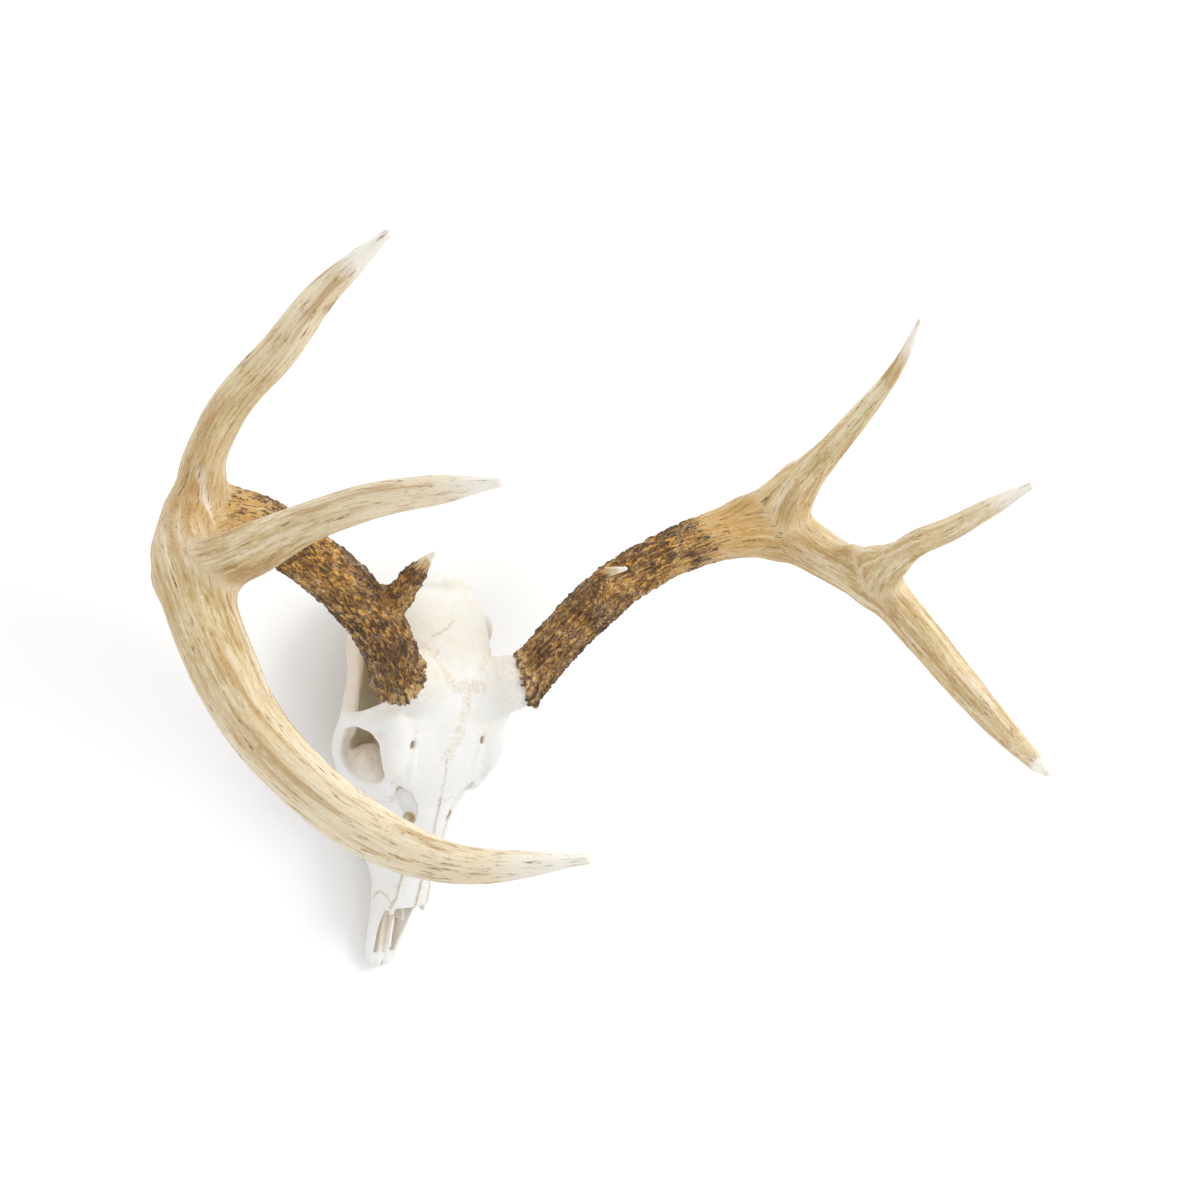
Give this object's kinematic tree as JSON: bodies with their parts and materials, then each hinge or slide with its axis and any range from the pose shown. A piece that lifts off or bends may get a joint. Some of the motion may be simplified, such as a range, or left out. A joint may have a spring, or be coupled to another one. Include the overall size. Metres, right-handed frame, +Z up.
{
  "type": "white-tailed deer skull with antlers",
  "caption": "Clean upper skull of a white-tailed deer buck with brown branched antlers and no lower jaw, lying on its cheek teeth and the processes behind them.",
  "frame": {"origin": "bottom centre of the box round the whole skull and antlers, on the surface it lies on", "axes": "+Z up, the nose points along -Y, +X is the animal's left"},
  "size_m": [0.4904, 0.447, 0.4642],
  "materials": {
    "face_bone": "smooth clean white bone with a low sheen",
    "braincase_bone": "smooth cream bone with fine pits",
    "antler_base": "rough dark brown antler with ridges and small knobs",
    "antler_tan": "smooth tan antler with brown streaks along it and ivory tips"
  },
  "bodies": {
    "root": {"left_cheek_arch": "face_bone", "right_cheek_arch": "face_bone", "left_premaxilla": "face_bone", "right_premaxilla": "face_bone", "left_forehead": "face_bone", "right_forehead": "face_bone", "braincase": "braincase_bone", "face": "face_bone", "left_beam_base": "antler_base", "left_beam_middle": "antler_tan", "left_beam_end": "antler_tan", "left_brow_tine": "antler_tan", "left_second_tine": "antler_tan", "left_third_tine": "antler_tan", "right_beam_base": "antler_base", "right_beam_middle": "antler_tan", "right_beam_end": "antler_tan", "right_brow_tine": "antler_tan", "right_second_tine": "antler_tan", "right_third_tine": "antler_tan"}
  },
  "joints": []
}
